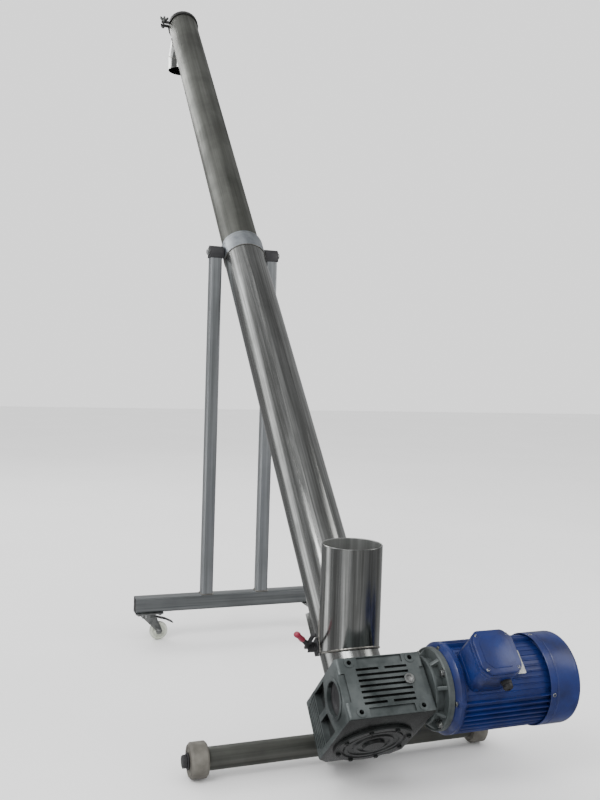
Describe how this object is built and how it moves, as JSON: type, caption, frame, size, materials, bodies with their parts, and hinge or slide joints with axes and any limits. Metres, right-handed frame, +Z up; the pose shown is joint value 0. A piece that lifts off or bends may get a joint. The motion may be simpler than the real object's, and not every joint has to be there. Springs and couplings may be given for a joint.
{
  "type": "grain auger",
  "caption": "Mobile inclined screw conveyor: worm gear motor, upright round hopper, two-size steel tube, discharge spout, roller axle and a hinged stand on braked casters.",
  "frame": {"origin": "centre of the footprint on the floor", "axes": "+Z up, +X along the axle towards the motor, +Y the level direction in which the tube rises"},
  "size_m": [0.706, 2.0694, 2.0794],
  "materials": {
    "polished_stainless": "mirror-polished tube with fine grinding lines",
    "dull_stainless": "matte drawn tube, slightly brown",
    "brushed_stainless": "brushed",
    "machined_steel": "machined",
    "cast_aluminium": "die cast, satin grey",
    "blue_enamel": "blue enamel over cast surfaces",
    "gear_bronze": "machined bronze",
    "zinc_plate": "bright zinc plate",
    "dark_steel": "dark oxide finish",
    "black_plastic": "moulded",
    "red_plastic": "dipped grip",
    "roller_plastic": "worn nylon",
    "caster_plastic": "off-white nylon"
  },
  "bodies": {
    "frame": {"gearbox_housing": "cast_aluminium", "gearbox_cover": "cast_aluminium", "wheel_bearing_upper": "machined_steel", "wheel_bearing_lower": "machined_steel", "worm_bearing_outer": "machined_steel", "worm_bearing_motor": "machined_steel", "worm_end_cap": "black_plastic", "motor_adapter_flange": "cast_aluminium", "motor_front_shield": "blue_enamel", "motor_frame": "blue_enamel", "stator_core": "machined_steel", "motor_rear_shield": "blue_enamel", "motor_fan_cowl": "blue_enamel", "terminal_box": "blue_enamel", "terminal_box_lid": "blue_enamel", "cable_gland": "black_plastic", "tube_flange": "brushed_stainless", "lower_tube": "polished_stainless", "hopper": "polished_stainless", "joint_collar": "brushed_stainless", "upper_tube": "dull_stainless", "discharge_spout": "polished_stainless", "end_cover": "brushed_stainless", "top_bearing": "machined_steel", "clamp_ring": "dark_steel", "clamp_bolt": "zinc_plate", "door_hinge_pin": "zinc_plate", "latch_base": "dark_steel", "axle_bracket": "dark_steel", "axle_tube": "dull_stainless", "roller_bolt_left": "dark_steel", "roller_bolt_right": "dark_steel", "pivot_pin_left": "zinc_plate", "pivot_pin_right": "zinc_plate"},
    "screw": {"auger_shaft": "brushed_stainless", "feed_flight": "brushed_stainless", "auger_flight": "brushed_stainless", "worm_wheel": "gear_bronze"},
    "drive": {"worm": "machined_steel", "motor_rotor": "machined_steel", "motor_fan": "black_plastic"},
    "wing_nut": {"wing_nut": "zinc_plate"},
    "latch": {"latch_lever": "dark_steel", "latch_grip": "red_plastic"},
    "door": {"cleanout_door": "polished_stainless"},
    "roller_left": {"roller_left": "roller_plastic"},
    "roller_right": {"roller_right": "roller_plastic"},
    "stand": {"base_beam": "brushed_stainless", "upright_left": "brushed_stainless", "upright_right": "brushed_stainless", "upright_head_left": "dark_steel", "upright_head_right": "dark_steel", "caster_plate_left": "zinc_plate", "caster_plate_right": "zinc_plate"},
    "caster_left": {"caster_fork_left": "zinc_plate"},
    "wheel_left": {"caster_wheel_left": "caster_plastic"},
    "brake_left": {"caster_brake_left": "black_plastic"},
    "caster_right": {"caster_fork_right": "zinc_plate"},
    "wheel_right": {"caster_wheel_right": "caster_plastic"},
    "brake_right": {"caster_brake_right": "black_plastic"}
  },
  "joints": [
    {"name": "screw_turn", "type": "hinge", "parent": "frame", "child": "screw", "pos_m": [-0.02895, -0.85221, 0.13], "axis": [0, 0.6947, 0.7193], "continuous": true},
    {"name": "drive_turn", "type": "hinge", "parent": "frame", "child": "drive", "pos_m": [-0.02895, -0.90616, 0.1821], "axis": [1, 0, 0], "continuous": true},
    {"name": "wing_nut_turn", "type": "hinge", "parent": "frame", "child": "wing_nut", "pos_m": [-0.10345, 0.98655, 2.03409], "axis": [0, 0.7193, -0.6947], "continuous": true},
    {"name": "latch_swing", "type": "hinge", "parent": "frame", "child": "latch", "pos_m": [-0.1001, -0.74422, 0.22312], "axis": [0, 0.6947, 0.7193], "range_deg": [-95, 8]},
    {"name": "door_swing", "type": "hinge", "parent": "frame", "child": "door", "pos_m": [0.0259, -0.68658, 0.25504], "axis": [0, 0.6947, 0.7193], "range_deg": [-100, 0]},
    {"name": "roller_left_spin", "type": "hinge", "parent": "frame", "child": "roller_left", "pos_m": [-0.32295, -0.75821, 0.033], "axis": [1, 0, 0], "continuous": true},
    {"name": "roller_right_spin", "type": "hinge", "parent": "frame", "child": "roller_right", "pos_m": [0.26505, -0.75821, 0.033], "axis": [1, 0, 0], "continuous": true},
    {"name": "stand_fold", "type": "hinge", "parent": "frame", "child": "stand", "pos_m": [-0.02895, 0.06612, 1.08097], "axis": [1, 0, 0], "range_deg": [-38, 45]},
    {"name": "caster_left_swivel", "type": "hinge", "parent": "stand", "child": "caster_left", "pos_m": [-0.27195, 0.06612, 0.07], "axis": [0, 0, 1], "continuous": true},
    {"name": "wheel_left_spin", "type": "hinge", "parent": "caster_left", "child": "wheel_left", "pos_m": [-0.24295, 0.06612, 0.025], "axis": [0, 1, 0], "continuous": true},
    {"name": "brake_left_press", "type": "hinge", "parent": "caster_left", "child": "brake_left", "pos_m": [-0.24965, 0.06612, 0.0654], "axis": [0, 1, 0], "range_deg": [-4, 12]},
    {"name": "caster_right_swivel", "type": "hinge", "parent": "stand", "child": "caster_right", "pos_m": [0.21405, 0.06612, 0.07], "axis": [0, 0, 1], "continuous": true},
    {"name": "wheel_right_spin", "type": "hinge", "parent": "caster_right", "child": "wheel_right", "pos_m": [0.24305, 0.06612, 0.025], "axis": [0, 1, 0], "continuous": true},
    {"name": "brake_right_press", "type": "hinge", "parent": "caster_right", "child": "brake_right", "pos_m": [0.23635, 0.06612, 0.0654], "axis": [0, 1, 0], "range_deg": [-4, 12]}
  ],
  "couplings": [
    {"joint": "drive_turn", "follows": "screw_turn", "ratio": -15}
  ]
}
